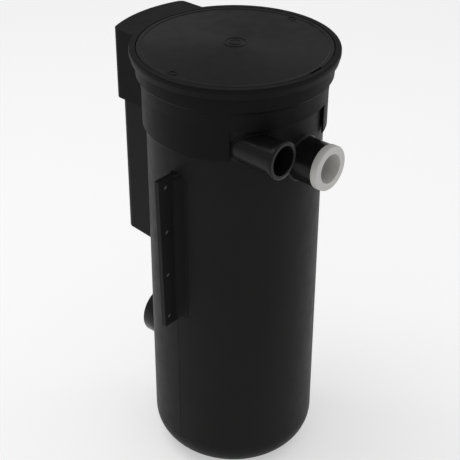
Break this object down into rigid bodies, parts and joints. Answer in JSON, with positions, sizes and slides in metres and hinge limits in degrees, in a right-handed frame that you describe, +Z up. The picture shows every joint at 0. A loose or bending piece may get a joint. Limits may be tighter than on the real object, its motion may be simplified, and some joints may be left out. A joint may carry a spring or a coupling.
{
  "type": "canister filter",
  "caption": "Tall in-ground canister filter: round-bottomed tank with rear inlet throat, height-adjusting collar, flush lid, drilled side fins, upper pipe ports, leaf basket and cartridge.",
  "frame": {"origin": "tank axis at the flat underside", "axes": "+Z up along the tank axis; upper pipe ports face -Y; the rear inlet throat and low rear port face +Y; fins at -X and +X"},
  "size_m": [0.46, 0.5044, 0.9707],
  "materials": {
    "tank_plastic": "satin black moulded plastic",
    "collar_plastic": "satin black moulded plastic",
    "lid_plastic": "satin black plastic with a fine turned texture",
    "pipe_plastic": "smooth black pipe plastic",
    "grey_plastic": "light grey pipe plastic",
    "white_plastic": "white pipe plastic",
    "inner_plastic": "dark grey moulded plastic",
    "seal_rubber": "soft black rubber",
    "filter_foam": "open-cell blue filter foam",
    "float_foam": "closed-cell float foam",
    "steel": "satin stainless steel"
  },
  "bodies": {
    "tank": {"tank_shell": "tank_plastic", "throat_box": "tank_plastic", "fin_left": "tank_plastic", "fin_right": "tank_plastic", "outlet_pipe": "pipe_plastic", "reducer_bushing": "grey_plastic", "overflow_socket": "pipe_plastic", "inlet_socket": "pipe_plastic", "mouth_gasket": "seal_rubber", "mouth_frame": "inner_plastic", "mouth_screws": "steel", "hinge_rod": "steel", "basket_shelf": "inner_plastic", "cartridge_stand": "inner_plastic", "suction_manifold": "pipe_plastic", "riser_pipe": "white_plastic", "riser_elbow": "pipe_plastic", "riser_clip": "inner_plastic"},
    "collar": {"collar": "collar_plastic"},
    "lid": {"lid": "lid_plastic", "lid_gasket": "seal_rubber", "lid_screws": "steel"},
    "weir": {"weir_flap": "inner_plastic", "weir_float": "float_foam"},
    "basket": {"leaf_basket": "inner_plastic"},
    "bail": {"basket_bail": "steel"},
    "cartridge": {"cartridge_core": "white_plastic", "cartridge_foam": "filter_foam", "cartridge_base_cap": "white_plastic", "cartridge_top_cap": "white_plastic", "cartridge_o_ring": "seal_rubber", "clamp_rod": "steel"},
    "knob": {"clamp_knob": "inner_plastic"}
  },
  "joints": [
    {"name": "collar_height", "type": "slide", "parent": "tank", "child": "collar", "axis": [0, 0, 1], "range_m": [0, 0.1]},
    {"name": "lid_lift", "type": "slide", "parent": "collar", "child": "lid", "axis": [0, 0, 1], "range_m": [0, 0.12]},
    {"name": "weir_swing", "type": "hinge", "parent": "tank", "child": "weir", "pos_m": [0, 0.217, 0.575], "axis": [1, 0, 0], "range_deg": [0, 75]},
    {"name": "basket_lift", "type": "slide", "parent": "tank", "child": "basket", "axis": [0, 0, 1], "range_m": [0, 0.32]},
    {"name": "bail_swing", "type": "hinge", "parent": "basket", "child": "bail", "pos_m": [0, 0.03, 0.5085], "axis": [1, 0, 0], "range_deg": [0, 95]},
    {"name": "cartridge_lift", "type": "slide", "parent": "tank", "child": "cartridge", "axis": [0, 0, 1], "range_m": [0, 0.03]},
    {"name": "knob_turn", "type": "hinge", "parent": "cartridge", "child": "knob", "pos_m": [0, 0.02, 0.315], "axis": [0, 0, 1], "range_deg": [0, 360]}
  ]
}
